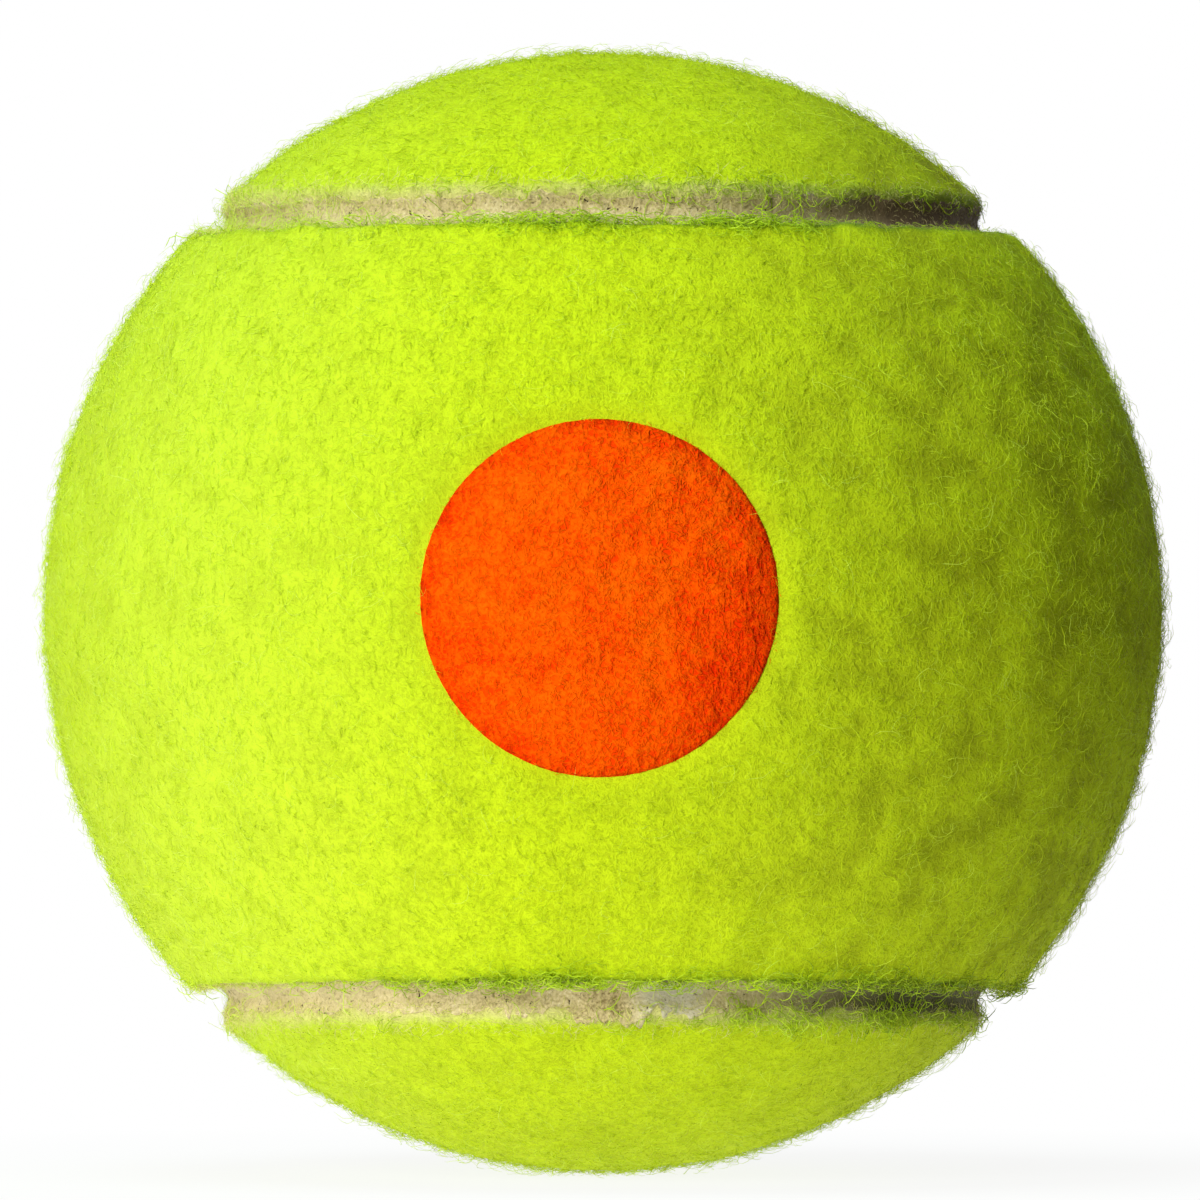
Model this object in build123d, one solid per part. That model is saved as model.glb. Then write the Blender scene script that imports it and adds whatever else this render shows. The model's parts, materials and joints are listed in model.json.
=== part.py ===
"""A low-pressure tennis ball with a printed dot, taken apart into the pieces that it is made from.

The frame has its origin at the ball's centre and +Z up. The waist of the front felt panel, with
the dot, faces -Y. All sizes are in millimetres and all angles in degrees.
"""

import math
import os

from build123d import *
from build123d.topology import SkipClean

# Driving sizes
BALL_DIAMETER = 66.0  # over the felt, without loose fibres
FELT_THICKNESS = 2.8
GLUE_THICKNESS = 0.2  # rubber solution between the core and the felt
CORE_WALL = 2.3
JOINT_FILM = 0.2  # cement between the rims of the two core halves
JOINT_GROOVE = 0.6  # chamfer on each inner rim, which the cement fills
JOINT_BEAD = 0.5  # how far the cement stands out into the hollow
WAIST_WIDTH = 45.1  # straight across a panel's waist, between the middles of the seam
SEAM_WIDTH = 2.0  # between the cut edges of the panels, at the felt's surface
SEAM_DEPTH = 1.35  # from the felt's surface to the edges of the seam's cement
SEAM_DIP = 0.15  # how far the cement's surface sags between the panels
FELT_EDGE_ROUNDING = 0.8  # the nap rolls over at a cut edge
DOT_DIAMETER = 19.5  # straight across the dot
INK_DEPTH = 0.4  # how deep the ink soaks into the nap

# Radii of the layers, from the felt inwards
felt_radius = BALL_DIAMETER / 2
glue_radius = felt_radius - FELT_THICKNESS
core_radius = glue_radius - GLUE_THICKNESS
hollow_radius = core_radius - CORE_WALL
cement_radius = felt_radius - SEAM_DEPTH

RIGHT_ANGLE = 90.0
HALF_TURN = 180
CENTRE = (0, 0, 0)
SWAP_PANELS = Axis(CENTRE, (1, 0, 1))  # half a turn about it lays one panel on the other
OTHER_SIDE = Rot(0, HALF_TURN, 0)  # lays upper on lower and right on left
FROM_FRONT = Plane(CENTRE, x_dir=(0, -1, 0), z_dir=(1, 0, 0))  # angles start at -Y

# The seam is four equal arcs, two in front and two behind, that meet on the diagonals between X
# and Z. The upper front arc is on the circle through its two ends and the middle of the waist's
# upper side. Half turns lay it on the other three, and at any width of the waist each arc runs
# smoothly into the next.
half_waist = WAIST_WIDTH / 2
waist_side = Vector(0, -math.sqrt(felt_radius**2 - half_waist**2), half_waist)
on_diagonal = felt_radius * math.cos(math.radians(RIGHT_ANGLE / 2))
right_end = Vector(on_diagonal, 0, on_diagonal)
left_end = Vector(-on_diagonal, 0, on_diagonal)
arc_axis = (waist_side - right_end).cross(right_end - left_end).normalized()
arc_centre = arc_axis * arc_axis.dot(right_end)
arc_turn = 2 * (right_end - arc_centre).get_angle(waist_side - arc_centre)
ALONG_ARC = Axis(CENTRE, -arc_axis)  # turns the right end through the front to the left end
ACROSS_ARC = Plane(
    CENTRE, x_dir=right_end - arc_centre, z_dir=(right_end - arc_centre).cross(arc_axis)
)  # through the right end, with the arc's axis upright in it

# Angles in that plane, from its level direction
seam_angle = RIGHT_ANGLE - arc_axis.get_angle(right_end)
seam_half_gap = math.degrees(math.asin(SEAM_WIDTH / 2 / felt_radius))
seam_low, seam_high = seam_angle - seam_half_gap, seam_angle + seam_half_gap
dot_half_angle = math.degrees(math.asin(DOT_DIAMETER / 2 / felt_radius))


def on_circle(radius, angle):
    """The point of a circle round the centre at that angle."""
    return (radius * math.cos(math.radians(angle)), radius * math.sin(math.radians(angle)))


def sector(inner_radius, outer_radius, low, high):
    """A flat piece of a ring, from one angle to the other."""
    edges = [
        CenterArc((0, 0), outer_radius, low, high - low),
        CenterArc((0, 0), inner_radius, low, high - low),
        Line(on_circle(inner_radius, low), on_circle(outer_radius, low)),
        Line(on_circle(inner_radius, high), on_circle(outer_radius, high)),
    ]
    return make_face(edges)


def joined(first, *others):
    """One solid from pieces that lie on the same sphere; their faces stay apart."""
    with SkipClean():
        return first.fuse(*others)


def recessed(body, inlay):
    """The body with room for the inlay."""
    with SkipClean():
        return body.cut(inlay)


def rounded_felt(low, high, rounded_end):
    """A cut through the felt, with its outer corner rounded at one of the two angles."""
    cut = sector(glue_radius, felt_radius, low, high)
    corner = Vector(*on_circle(felt_radius, rounded_end))
    return fillet(cut.vertices().sort_by_distance(corner)[:1], FELT_EDGE_ROUNDING)


def along_arc(across):
    """What a cut across the upper front arc makes when it runs along it."""
    return revolve(ACROSS_ARC * across, ALONG_ARC, arc_turn)


def all_round(front):
    """What lies along the upper front arc, and the same along the other three arcs."""
    back = front.rotate(SWAP_PANELS, HALF_TURN)
    return joined(front, back, OTHER_SIDE * front, OTHER_SIDE * back)


def felt_panel():
    """The front panel: a waist in two halves, and a round lobe at each side of the back."""
    below_arc = along_arc(rounded_felt(-seam_low, seam_low, seam_low))
    upper_waist = split(below_arc, Plane.XY, keep=Keep.TOP)
    above_arc = along_arc(rounded_felt(seam_high, RIGHT_ANGLE, seam_high))
    lobe = above_arc.rotate(SWAP_PANELS, HALF_TURN)
    return joined(upper_waist, OTHER_SIDE * upper_waist, lobe, OTHER_SIDE * lobe)


def seam_cement():
    """The rubber in the groove between the panels, a little hollow in the middle."""
    edges = [
        CenterArc((0, 0), glue_radius, seam_low, seam_high - seam_low),
        Line(on_circle(glue_radius, seam_low), on_circle(cement_radius, seam_low)),
        Line(on_circle(glue_radius, seam_high), on_circle(cement_radius, seam_high)),
        ThreePointArc(
            on_circle(cement_radius, seam_low),
            on_circle(cement_radius - SEAM_DIP, seam_angle),
            on_circle(cement_radius, seam_high),
        ),
    ]
    return all_round(along_arc(make_face(edges)))


def dot_print():
    """The inked nap of the dot, as deep as the ink soaks in."""
    across = sector(felt_radius - INK_DEPTH, felt_radius, 0, dot_half_angle)
    return revolve(FROM_FRONT * across, Axis.Y)


# Corners of the joint between the core halves, above the middle plane
film_half = JOINT_FILM / 2
groove_top = film_half + JOINT_GROOVE
rim_outside = (math.sqrt(core_radius**2 - film_half**2), film_half)
rim_inside = (math.sqrt(hollow_radius**2 - film_half**2) + JOINT_GROOVE, film_half)
groove_inside = (math.sqrt(hollow_radius**2 - groove_top**2), groove_top)


def core_half():
    """The upper half shell, with a flat rim and a chamfer that holds the cement's bead."""
    edges = [
        ThreePointArc(rim_outside, on_circle(core_radius, RIGHT_ANGLE / 2), (0, core_radius)),
        Line((0, core_radius), (0, hollow_radius)),
        ThreePointArc((0, hollow_radius), on_circle(hollow_radius, RIGHT_ANGLE / 2), groove_inside),
        Line(groove_inside, rim_inside),
        Line(rim_inside, rim_outside),
    ]
    return revolve(Plane.XZ * make_face(edges), Axis.Z)


def below(point):
    """The same point on the other side of the middle plane."""
    return (point[0], -point[1])


def core_joint_cement():
    """The film between the rims, and the bead that fills the groove and stands out inside."""
    edges = [
        ThreePointArc(below(rim_outside), (core_radius, 0), rim_outside),
        Line(rim_outside, rim_inside),
        Line(rim_inside, groove_inside),
        ThreePointArc(groove_inside, (hollow_radius - JOINT_BEAD, 0), below(groove_inside)),
        Line(below(groove_inside), below(rim_inside)),
        Line(below(rim_inside), below(rim_outside)),
    ]
    return revolve(Plane.XZ * make_face(edges), Axis.Z)


def core_glue_coat():
    """The thin shell of rubber solution all over the core."""
    across = sector(core_radius, glue_radius, -RIGHT_ANGLE, RIGHT_ANGLE)
    return revolve(Plane.XZ * across, Axis.Z)


panel = felt_panel()
dot = dot_print()
upper_half = core_half()

pieces = {
    "core_half_upper": upper_half,
    "core_half_lower": Rot(HALF_TURN, 0, 0) * upper_half,
    "core_joint_cement": core_joint_cement(),
    "core_glue_coat": core_glue_coat(),
    "felt_panel_front": recessed(panel, dot),
    "felt_panel_rear": panel.rotate(SWAP_PANELS, HALF_TURN),
    "seam_cement": seam_cement(),
    "orange_dot_print": dot,
}

os.makedirs("parts", exist_ok=True)
for name, piece in pieces.items():
    export_step(piece, f"parts/{name}.step")
    print(name, round(piece.volume, 1), "mm3")
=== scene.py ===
# %% [markdown]
# A junior tennis ball, dressed for its portrait
#
# A tennis ball is a hollow rubber ball under two equal felt panels. The panels meet along one
# closed groove, and rubber cement fills the bottom of that groove. This ball also has a round
# orange print. The solid model already holds the pieces at their real size, so this lesson adds
# what a solid cannot show: the nap of the felt, fibre by fibre, the grain of the cement and the
# ink on the pressed nap.

# %% Load the solid model
import json
import math
import random

import bmesh
import bpy
from mathutils import Matrix, Vector, noise

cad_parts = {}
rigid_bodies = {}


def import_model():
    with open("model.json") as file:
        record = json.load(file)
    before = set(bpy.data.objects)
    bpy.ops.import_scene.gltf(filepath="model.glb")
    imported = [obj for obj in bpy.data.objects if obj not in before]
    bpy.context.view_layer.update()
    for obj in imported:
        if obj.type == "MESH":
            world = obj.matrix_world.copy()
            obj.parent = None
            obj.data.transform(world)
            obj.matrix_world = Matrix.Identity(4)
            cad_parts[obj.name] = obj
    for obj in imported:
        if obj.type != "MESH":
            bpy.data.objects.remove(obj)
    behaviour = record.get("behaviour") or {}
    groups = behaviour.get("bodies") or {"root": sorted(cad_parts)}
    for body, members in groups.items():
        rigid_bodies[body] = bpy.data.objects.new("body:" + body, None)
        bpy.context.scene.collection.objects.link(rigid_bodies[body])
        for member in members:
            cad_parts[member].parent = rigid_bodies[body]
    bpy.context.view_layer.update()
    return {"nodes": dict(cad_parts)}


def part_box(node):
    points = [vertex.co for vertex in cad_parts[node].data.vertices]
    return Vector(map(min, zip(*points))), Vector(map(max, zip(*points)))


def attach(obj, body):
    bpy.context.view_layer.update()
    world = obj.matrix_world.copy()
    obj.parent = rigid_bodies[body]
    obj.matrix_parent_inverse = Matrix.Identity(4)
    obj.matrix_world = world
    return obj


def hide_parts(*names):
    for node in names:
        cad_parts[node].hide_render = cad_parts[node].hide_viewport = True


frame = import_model()
scene = bpy.context.scene
print("solid pieces:", ", ".join(sorted(frame["nodes"])))

# %% [markdown]
# Sizes
#
# The ball's own sizes come from the boxes of the solid pieces. The sizes of the groove are the
# same as in the solid model. Blender works in metres, so each size in millimetres is multiplied
# once, where it is named.

# %% Measure the ball
MM = 0.001


def half_width(node):
    """Half of a piece's size along X."""
    low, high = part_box(node)
    return (high.x - low.x) / 2


FELT_R = half_width("felt_panel_front")
GLUE_R = half_width("core_glue_coat")
DOT_R = half_width("orange_dot_print")
WAIST_WIDTH = 45.1 * MM
SEAM_WIDTH = 2.0 * MM
SEAM_DEPTH = 1.35 * MM
NAP_HEIGHT = 0.3 * MM  # from the mat up to the top of the nap
EDGE_ROLL = 1.0 * MM  # the radius with which the mat rolls over at a cut edge
INK_SPREAD = 1.015  # the ink creeps a little past the stamp
RIM_DEPTH = 0.3 * MM  # about how far the print's rim lies below the mat

GROUND_R = FELT_R - NAP_HEIGHT
CEMENT_R = FELT_R - SEAM_DEPTH
SEAM_ANGLE = math.pi / 4
LEAN = SEAM_ANGLE - math.asin(WAIST_WIDTH / 2 / FELT_R)
SEAM_HALF = math.asin(SEAM_WIDTH / 2 / FELT_R)
WALL_ANGLE = SEAM_ANGLE - SEAM_HALF
DOT_ANGLE = math.asin(INK_SPREAD * DOT_R / (GROUND_R - RIM_DEPTH))
print(f"felt radius {FELT_R / MM:.2f} mm, dot radius {DOT_R / MM:.2f} mm")

# %% [markdown]
# Where a point lies
#
# The groove is four arcs, two round the upright axis in front and two round the sideways axis
# behind. Each arc leans a little, so the waist of a panel is narrower than a quarter of the way
# round. One small function tells how far a point of the ball is from the middle of the groove.
# The felt, its nap and the cement all use it, so they cannot drift apart.

# %% Distances on the ball
NEARLY_ZERO = 0.001
TO_FRONT = Vector((0, -1, 0))


def from_seam(point):
    """Metres from the groove's middle, measured on the felt: above 0 on the front panel."""
    x, y, z = point.normalized()
    angle = math.asin(abs(z if y < 0 else x))
    middle = SEAM_ANGLE - LEAN * abs(y) / max(math.cos(angle), NEARLY_ZERO)
    return FELT_R * (middle - angle if y < 0 else angle - middle)


def from_dot(point):
    """Metres from the dot's rim, measured on the felt: below 0 inside the dot."""
    return FELT_R * (point.angle(TO_FRONT) - DOT_ANGLE)


def ease(value, low, high):
    """0 up to low, 1 from high on, and a smooth step between them."""
    share = min(max((value - low) / (high - low), 0), 1)
    return share * share * (3 - 2 * share)


# %% [markdown]
# Tools for node trees
#
# Every material and every scatter below is a tree of nodes. One helper adds a node, sets its
# options and fills its inputs: an input that is given a socket is linked, and any other value is
# written on the input itself. A colour band also gets its stops, each a place from 0 to 1 and a
# colour. Colours are written as they look on a screen, in hex, and one function turns them into
# the linear numbers that light is worked out with.


# %% Node helper and colour function
def linear(hex_colour, alpha=1.0):
    """A screen colour such as #cde61e as linear red, green, blue and alpha."""
    parts = [int(hex_colour[i : i + 2], 16) / 255 for i in (1, 3, 5)]
    return (*(p / 12.92 if p <= 0.04045 else ((p + 0.055) / 1.055) ** 2.4 for p in parts), alpha)


def fill(tree, node, inputs):
    """Links each input that is given a socket, and writes any other value on the input."""
    for key, value in inputs.items():
        if isinstance(value, bpy.types.NodeSocket):
            tree.links.new(value, node.inputs[key])
        else:
            node.inputs[key].default_value = value


def add(tree, kind, inputs, stops=(), **settings):
    """A new node with these settings, inputs and colour stops."""
    node = tree.nodes.new(kind)
    for name, value in settings.items():
        setattr(node, name, value)
    fill(tree, node, inputs)
    if stops:
        band = node.color_ramp.elements
        while len(band) < len(stops):
            band.new(1.0)
        for element, (place, colour) in zip(band, stops):
            element.position = place
            element.color = linear(colour)
    return node


def new_material(name):
    """An empty material: its tree, its surface shader and the object's own coordinates."""
    made = bpy.data.materials.new(name)
    made.use_nodes = True
    tree = made.node_tree
    tree.nodes.clear()
    shader = add(tree, "ShaderNodeBsdfPrincipled", {})
    add(tree, "ShaderNodeOutputMaterial", {"Surface": shader.outputs[0]})
    place = add(tree, "ShaderNodeTexCoord", {}).outputs["Object"]
    return made, tree, shader, place


def per_metre(size_mm):
    """The texture scale that gives a pattern of this size."""
    return 1 / (size_mm * MM)


# %% [markdown]
# Needled felt
#
# The cover is a wool and nylon felt: loose fibres hooked through a cotton backing and then fluffed.
# To the eye it has no gloss, a pale bloom where fibres catch the light and deep yellow-green in
# the gaps. The ground is the mat below the nap, and its fibres are too fine to model. A smooth
# noise passes through its middle value along thin winding lines, so a few such noises on top of
# each other look like a tangle of fibres. It is drawn coarser than the real tangle, which would
# not show. Four marks on the mesh colour the ground: a painted highlight that makes it paler on
# the lit left, painted shade that darkens its hollows and its right, a painted shade line along
# its cut edge, and a real stain beside the groove, where it has drunk some of the seam's cement.

# %% Felt ground material
NOISE_MIDDLE = 0.5
LINE_HALF = 0.07
LAYER_APART = 3.7


def tangle(tree, place, size_mm, layers):
    """Thin winding lines, 1 on a line and 0 between lines."""
    lines = 0.0
    for layer in range(layers):
        field = add(tree, "ShaderNodeTexNoise", {
            "Vector": place, "W": LAYER_APART * layer, "Scale": per_metre(size_mm), "Detail": 1.0,
            "Distortion": 0.5}, noise_dimensions="4D")
        off = add(tree, "ShaderNodeMath", {
            0: field.outputs["Fac"], 1: NOISE_MIDDLE}, operation="SUBTRACT")
        near = add(tree, "ShaderNodeMath", {0: off.outputs[0]}, operation="ABSOLUTE")
        line = add(tree, "ShaderNodeMapRange", {
            "Value": near.outputs[0], "From Max": LINE_HALF, "To Min": 1.0, "To Max": 0.0})
        both = add(tree, "ShaderNodeMath", {
            0: lines, 1: line.outputs["Result"]}, operation="MAXIMUM")
        lines = both.outputs[0]
    return lines


GROUND_CLUMP_MM = 1.6
GROUND_TANGLE_MM = 0.45
GROUND_DYES = ((0.15, "#b6ca08"), (0.5, "#c4dc0a"), (0.85, "#cee610"))
# the first three entries are painted light on the ground, the last a real cement stain
GROUND_PAINTED_LIGHT_AND_STAINS = (  # the mark, its value at the full stain, and the stain
    # painted highlight: the ground is paler on the lit left
    ("painted_light_tone", 0.25, "#cce83c"),
    # painted shade: darker ground in the hollows and towards the right
    ("painted_shade", 1.0, "#767804"),
    # painted shade line along the cut edge
    ("edge", 1.0, "#4e740c"),
    ("soak", 1.0, "#dcd888"),
)


def felt_ground():
    made, tree, shader, place = new_material("needled_felt_ground")
    clumps = add(tree, "ShaderNodeTexNoise", {
        "Vector": place, "Scale": per_metre(GROUND_CLUMP_MM), "Detail": 3.0})
    fibres = tangle(tree, place, GROUND_TANGLE_MM, 3)
    both = add(tree, "ShaderNodeMix", {"Factor": 0.55, "A": clumps.outputs["Fac"], "B": fibres})
    dyed = add(tree, "ShaderNodeValToRGB", {"Fac": both.outputs["Result"]}, stops=GROUND_DYES)
    colour = dyed.outputs["Color"]
    for mark, full, overlay_colour in GROUND_PAINTED_LIGHT_AND_STAINS:
        amount = add(tree, "ShaderNodeAttribute", {}, attribute_name=mark)
        share = add(tree, "ShaderNodeMapRange", {"Value": amount.outputs["Fac"], "From Max": full})
        overlaid = add(tree, "ShaderNodeMix", {
            "Factor": share.outputs["Result"], "A": colour, "B": linear(overlay_colour)}, data_type="RGBA")
        colour = overlaid.outputs["Result"]
    bump = add(tree, "ShaderNodeBump", {"Height": fibres, "Strength": 0.5, "Distance": 0.08 * MM})
    fill(tree, shader, {
        "Base Color": colour, "Normal": bump.outputs[0], "Roughness": 0.9, "Specular IOR Level": 0.2})
    return made


FELT_GROUND = felt_ground()


# %% Fibre materials
def felt_fibre(name, gloss, *stops):
    """Dyed fibres: each one has a tone of its own, from the deepest stop to the palest."""
    made, tree, shader, _ = new_material(name)
    tone = add(tree, "ShaderNodeAttribute", {}, attribute_name="tone")
    dyed = add(tree, "ShaderNodeValToRGB", {"Fac": tone.outputs["Fac"]}, stops=stops)
    fill(tree, shader, {
        "Base Color": dyed.outputs["Color"], "Roughness": 0.55, "Specular IOR Level": gloss})
    return made


FELT_FIBRE = felt_fibre("dyed_felt_fibre", 0.25, (0.1, "#9a9e02"), (0.4, "#c4d804"),
                        (0.65, "#d0ea10"), (1.0, "#dcf46c"))
# fringe fibres: greener, and darker in their deeper tones as painted shade along the groove's edges
EDGE_FIBRE = felt_fibre("edge_felt_fibre_with_painted_shade", 0.3, (0.1, "#82900e"), (0.4, "#a0c00c"),
                        (0.7, "#c8e81c"), (1.0, "#e0f668"))
SOAKED_FIBRE = felt_fibre("cement_soaked_fibre", 0.3, (0.2, "#98865a"), (0.42, "#c6b980"),
                          (0.6, "#dcd688"), (0.85, "#e4e878"))
INK_FIBRE = felt_fibre("inked_felt_fibre", 0.0, (0.1, "#fa3c00"), (0.4, "#ff5600"),
                       (0.8, "#ff5e02"), (1.0, "#ff6e00"))
print("felt materials:", FELT_GROUND.name, FELT_FIBRE.name, EDGE_FIBRE.name, SOAKED_FIBRE.name)

# %% [markdown]
# Printed ink
#
# The dot is pigment ink stamped on the felt. It glues the top fibres together and presses them
# flat, so the dot is smoother than the nap. Where the print has begun to wear, on its right, the
# fibres part again in short upright creases. There and round the rim the ink is painted darker and
# the creases dark red, as painted shade. A mark on the mesh says where. A noise that is squeezed
# sideways gives such creases.

# %% Ink material
INK_FLECK_MM = 2.2
INK_TANGLE_MM = 0.5
INKS = ((0.2, "#fa3600"), (0.36, "#fe4c00"), (0.5, "#ff5a00"), (0.75, "#ff6802"))
CREASE_MM = 0.8
CREASE_NOISE = (0.36, 0.5)
CREASE_SQUEEZE = (1.8, 1.0, 0.7)
# painted shade: dark red in the creases and darker ink on the dot's right and rim
CREASE_SHADE = "#d02200"
SHADE_SHIFT = -0.28
CREASE_DEPTH = -0.6


def printed_ink():
    made, tree, shader, place = new_material("pigment_ink_on_felt")
    flecks = add(tree, "ShaderNodeTexNoise", {
        "Vector": place, "Scale": per_metre(INK_FLECK_MM), "Detail": 5.0, "Distortion": 0.8})
    fibres = tangle(tree, place, INK_TANGLE_MM, 3)
    both = add(tree, "ShaderNodeMix", {"Factor": 0.3, "A": flecks.outputs["Fac"], "B": fibres})
    # the mark of painted shade on the dot's right and rim
    worn_and_shaded = add(tree, "ShaderNodeAttribute", {}, attribute_name="worn_and_shaded")
    shade_shifted = add(tree, "ShaderNodeMath", {
        0: worn_and_shaded.outputs["Fac"], 1: SHADE_SHIFT, 2: both.outputs["Result"]}, operation="MULTIPLY_ADD")
    inked = add(tree, "ShaderNodeValToRGB", {"Fac": shade_shifted.outputs[0]}, stops=INKS)
    upright = add(tree, "ShaderNodeMapping", {"Vector": place, "Scale": CREASE_SQUEEZE})
    streaks = add(tree, "ShaderNodeTexNoise", {
        "Vector": upright.outputs[0], "Scale": per_metre(CREASE_MM), "Detail": 2.0,
        "Distortion": 0.6})
    gaps = add(tree, "ShaderNodeMapRange", {
        "Value": streaks.outputs["Fac"], "From Min": CREASE_NOISE[0], "From Max": CREASE_NOISE[1],
        "To Min": 1.0, "To Max": 0.0})
    creased = add(tree, "ShaderNodeMath", {
        0: gaps.outputs["Result"], 1: worn_and_shaded.outputs["Fac"]}, operation="MULTIPLY")
    crease_shaded = add(tree, "ShaderNodeMix", {
        "Factor": creased.outputs[0], "A": inked.outputs["Color"], "B": linear(CREASE_SHADE)},
        data_type="RGBA")
    height = add(tree, "ShaderNodeMath", {
        0: creased.outputs[0], 1: CREASE_DEPTH, 2: both.outputs["Result"]},
        operation="MULTIPLY_ADD")
    bump = add(tree, "ShaderNodeBump", {
        "Height": height.outputs[0], "Strength": 1.0, "Distance": 0.2 * MM})
    fill(tree, shader, {
        "Base Color": crease_shaded.outputs["Result"], "Normal": bump.outputs[0], "Roughness": 0.8,
        "Specular IOR Level": 0.02})
    return made


PRINTED_INK = printed_ink()
print("ink materials:", PRINTED_INK.name, INK_FIBRE.name)

# %% [markdown]
# Seam cement
#
# The groove is sealed with a filled natural-rubber cement that is cured with the ball. It is matt
# and tan-grey, with a chalky bloom in places and small dark pits left by bubbles. On the left a
# painted highlight makes it paler, a grey smear crosses it low in front, and towards the right
# painted shade makes it darker, browner in the upper groove than in the lower one.

# %% Seam cement material
BLOOM_MM = 3.0
GRAIN_MM = 0.16  # coarser than the real filler, which would not show
PIT_MM = 0.4
PIT_NOISE = (0.27, 0.33)
CEMENTS = ((0.32, "#92804e"), (0.44, "#c8b680"), (0.56, "#dccc96"), (0.7, "#eee4be"))
PIT_COLOUR = "#3c2e1c"
# painted highlight: the cement is paler on the left over this span along X
LIT_PALE_CEMENT_SPAN = (-20 * MM, -2 * MM)
SMEAR_PLACE = (4 * MM, -22.5 * MM, -22 * MM)
SMEARED = (1.0 * MM, 3.0 * MM)
# painted shade: the cement darkens towards the right over this span along X, browner in the upper groove
CEMENT_SHADE_SPAN = (2 * MM, 18 * MM)
MOST_SHADE_PAINT = 0.95
LOWER_SHADE_PAINT = ((0.3, "#868a54"), (0.65, "#62663a"), (1.0, "#54562c"))
UPPER_SHADE_PAINT = ((0.3, "#86865a"), (0.65, "#6c6842"), (1.0, "#58422e"))


def cement_shade_paint(tree, apart):
    """How much painted shade the cement gets, from left to right, and the colour of that painted shade.
    """
    upper = add(tree, "ShaderNodeMapRange", {
        "Value": apart["Z"], "From Min": -1 * MM, "From Max": 1 * MM})
    shade_share = add(tree, "ShaderNodeMapRange", {
        "Value": apart["X"], "From Min": CEMENT_SHADE_SPAN[0], "From Max": CEMENT_SHADE_SPAN[1], "To Max": MOST_SHADE_PAINT},
        interpolation_type="SMOOTHSTEP").outputs["Result"]
    low = add(tree, "ShaderNodeValToRGB", {"Fac": shade_share}, stops=LOWER_SHADE_PAINT)
    high = add(tree, "ShaderNodeValToRGB", {"Fac": shade_share}, stops=UPPER_SHADE_PAINT)
    shade_paint = add(tree, "ShaderNodeMix", {
        "Factor": upper.outputs["Result"], "A": low.outputs["Color"], "B": high.outputs["Color"]},
        data_type="RGBA")
    return shade_share, shade_paint.outputs["Result"]


def seam_rubber():
    made, tree, shader, place = new_material("cured_rubber_cement")
    bloom = add(tree, "ShaderNodeTexNoise", {
        "Vector": place, "Scale": per_metre(BLOOM_MM), "Detail": 4.0})
    grain = add(tree, "ShaderNodeTexNoise", {
        "Vector": place, "Scale": per_metre(GRAIN_MM), "Detail": 3.0})
    both = add(tree, "ShaderNodeMix", {
        "Factor": 0.6, "A": bloom.outputs["Fac"], "B": grain.outputs["Fac"]})
    cured = add(tree, "ShaderNodeValToRGB", {"Fac": both.outputs["Result"]}, stops=CEMENTS)
    colour = cured.outputs["Color"]
    apart = add(tree, "ShaderNodeSeparateXYZ", {0: place}).outputs
    middle = add(tree, "ShaderNodeVectorMath", {0: place, 1: SMEAR_PLACE}, operation="DISTANCE")
    # a painted highlight that pales the left, then a real grey smear
    for value, (near, far), most, overlay_colour, step in (
        (apart["X"], LIT_PALE_CEMENT_SPAN, 0.7, "#ded09c", "LINEAR"),
        (middle.outputs["Value"], SMEARED, 0.6, "#c6c6b4", "SMOOTHSTEP"),
    ):
        share = add(tree, "ShaderNodeMapRange", {
            "Value": value, "From Min": near, "From Max": far, "To Min": most, "To Max": 0.0},
            interpolation_type=step)
        overlaid = add(tree, "ShaderNodeMix", {
            "Factor": share.outputs["Result"], "A": colour, "B": linear(overlay_colour)}, data_type="RGBA")
        colour = overlaid.outputs["Result"]
    # painted shade towards the right
    shade_share, shade_paint = cement_shade_paint(tree, apart)
    shade_painted = add(tree, "ShaderNodeMix", {"Factor": shade_share, "A": colour, "B": shade_paint}, data_type="RGBA")
    specks = add(tree, "ShaderNodeTexNoise", {
        "Vector": place, "Scale": per_metre(PIT_MM), "Detail": 2.0, "Distortion": 1.0})
    sound = add(tree, "ShaderNodeMapRange", {
        "Value": specks.outputs["Fac"], "From Min": PIT_NOISE[0], "From Max": PIT_NOISE[1]})
    unpitted = sound.outputs["Result"]
    pitted = add(tree, "ShaderNodeMix", {
        "Factor": unpitted, "A": linear(PIT_COLOUR), "B": shade_painted.outputs["Result"]},
        data_type="RGBA")
    depth = add(tree, "ShaderNodeMath", {
        0: grain.outputs["Fac"], 1: unpitted}, operation="MULTIPLY")
    bump = add(tree, "ShaderNodeBump", {
        "Height": depth.outputs[0], "Strength": 0.8, "Distance": 0.1 * MM})
    fill(tree, shader, {
        "Base Color": pitted.outputs["Result"], "Normal": bump.outputs[0], "Roughness": 0.75,
        "Specular IOR Level": 0.3})
    return made


SEAM_RUBBER = seam_rubber()
print("cement material:", SEAM_RUBBER.name)

# %% [markdown]
# Rubber inside
#
# Nobody sees the core unless the ball is cut open, but the pieces are there, so they get their
# own finish: black moulded rubber that is ground rough for the glue, brown joint cement and an
# amber coat of rubber solution.


# %% Core materials
def core_rubber(name, dark, pale, grain_mm, roughness):
    made, tree, shader, place = new_material(name)
    grain = add(tree, "ShaderNodeTexNoise", {
        "Vector": place, "Scale": per_metre(grain_mm), "Detail": 3.0}).outputs["Fac"]
    bump = add(tree, "ShaderNodeBump", {"Height": grain, "Strength": 0.4, "Distance": 0.1 * MM})
    colour = add(tree, "ShaderNodeValToRGB", {"Fac": grain}, stops=((0.35, dark), (0.65, pale)))
    fill(tree, shader, {
        "Base Color": colour.outputs["Color"], "Normal": bump.outputs[0], "Roughness": roughness})
    return made


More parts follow.
